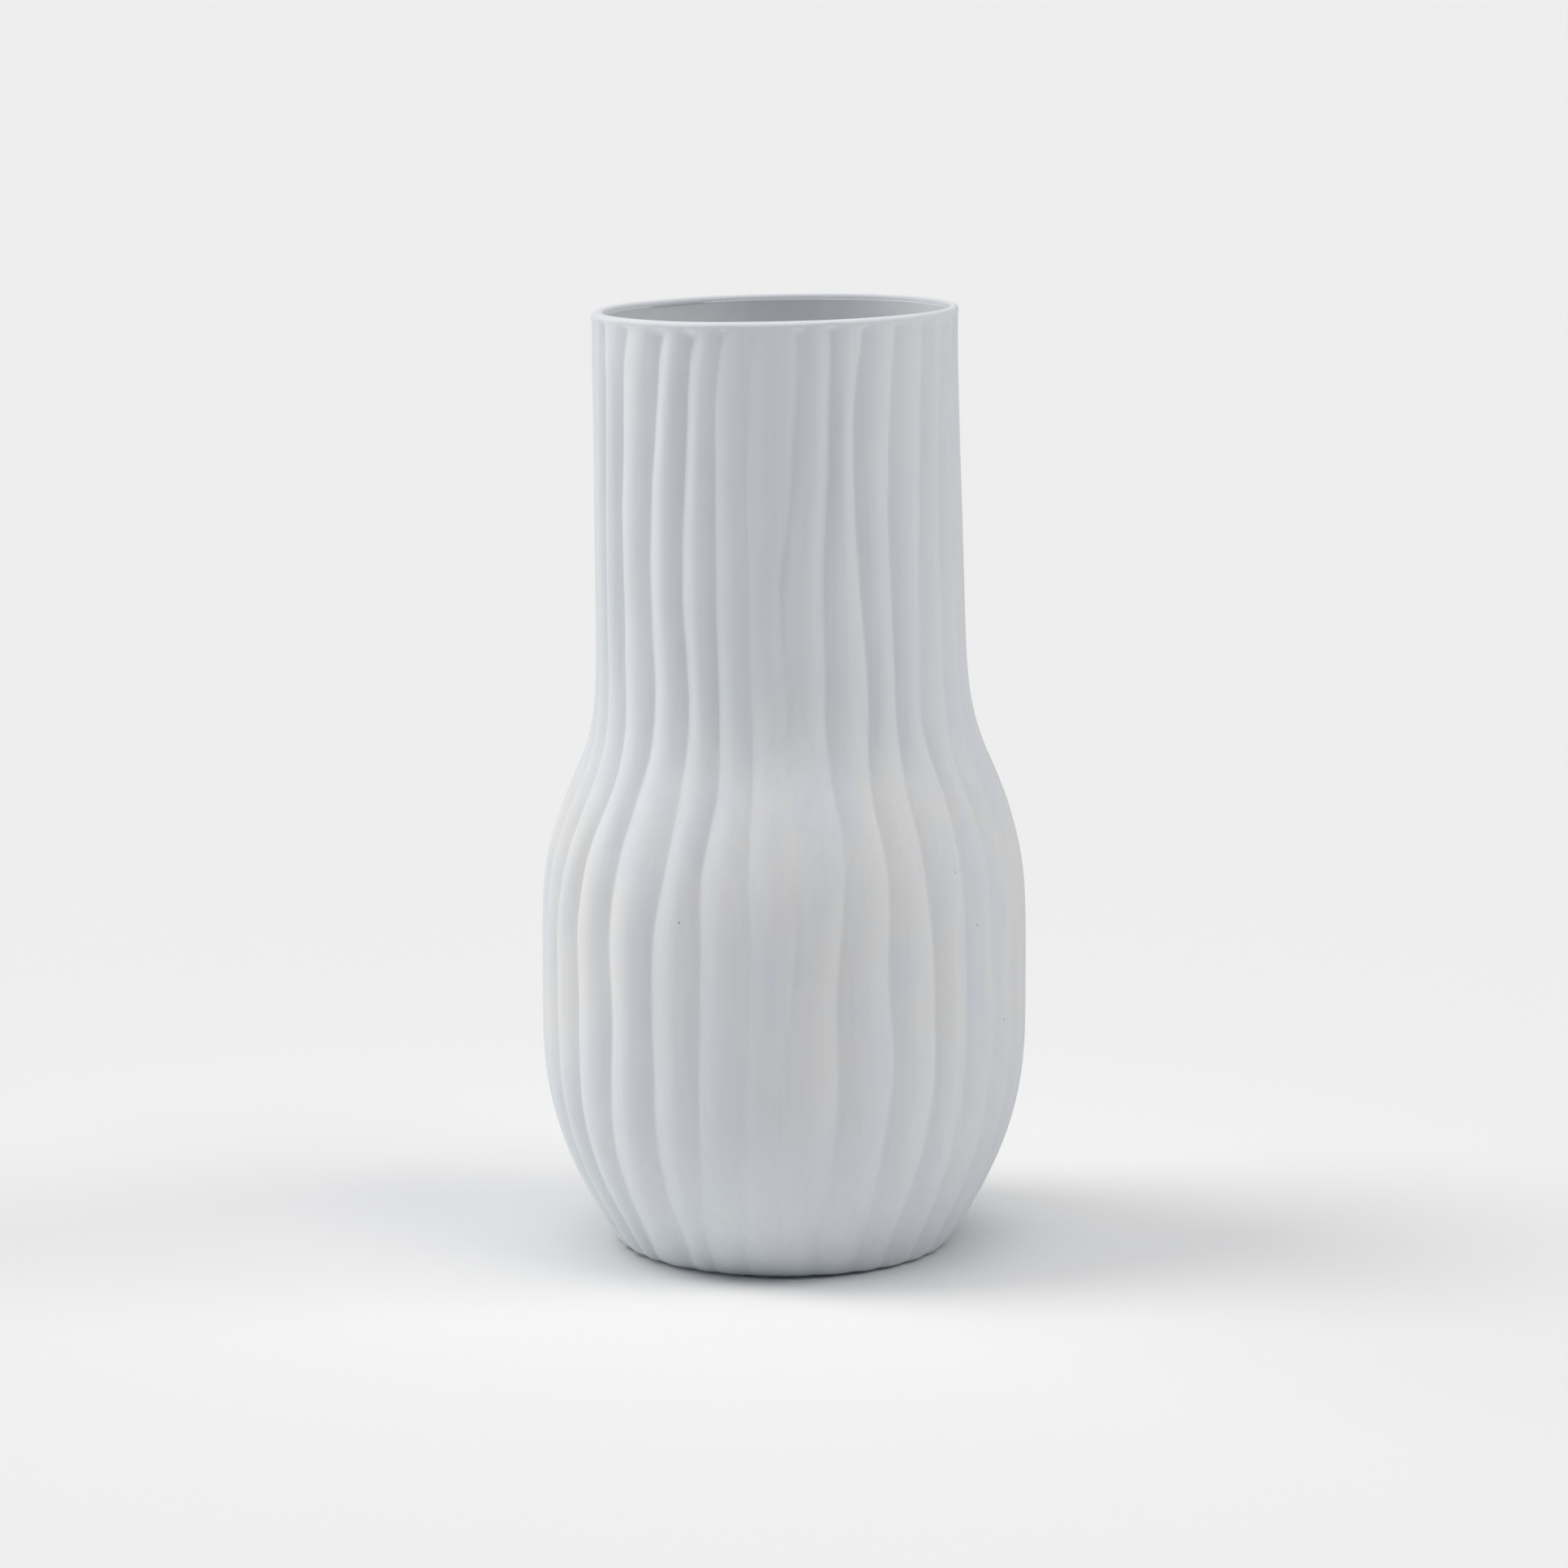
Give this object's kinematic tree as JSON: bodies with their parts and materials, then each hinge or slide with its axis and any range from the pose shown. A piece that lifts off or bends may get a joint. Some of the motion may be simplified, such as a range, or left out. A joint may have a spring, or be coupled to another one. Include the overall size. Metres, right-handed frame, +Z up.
{
  "type": "vase",
  "caption": "Small bottle-shaped porcelain vase with a round belly, a wide straight neck, hand-carved vertical ribs outside, a plain lip and a glazed inside.",
  "frame": {"origin": "on the surface the vase stands on, under the belly's axis", "axes": "+Z up along the belly's axis, -Y the front, and the neck leans slightly towards -X"},
  "size_m": [0.0924, 0.0924, 0.1799],
  "materials": {
    "bisque_porcelain": "matte, unglazed",
    "ground_porcelain": "ground flat, matte",
    "clear_glaze": "gloss"
  },
  "bodies": {
    "root": {"ribbed_wall": "bisque_porcelain", "rim_lip": "bisque_porcelain", "floor_disc": "bisque_porcelain", "foot_ring": "ground_porcelain", "inner_glaze": "clear_glaze"}
  },
  "joints": []
}
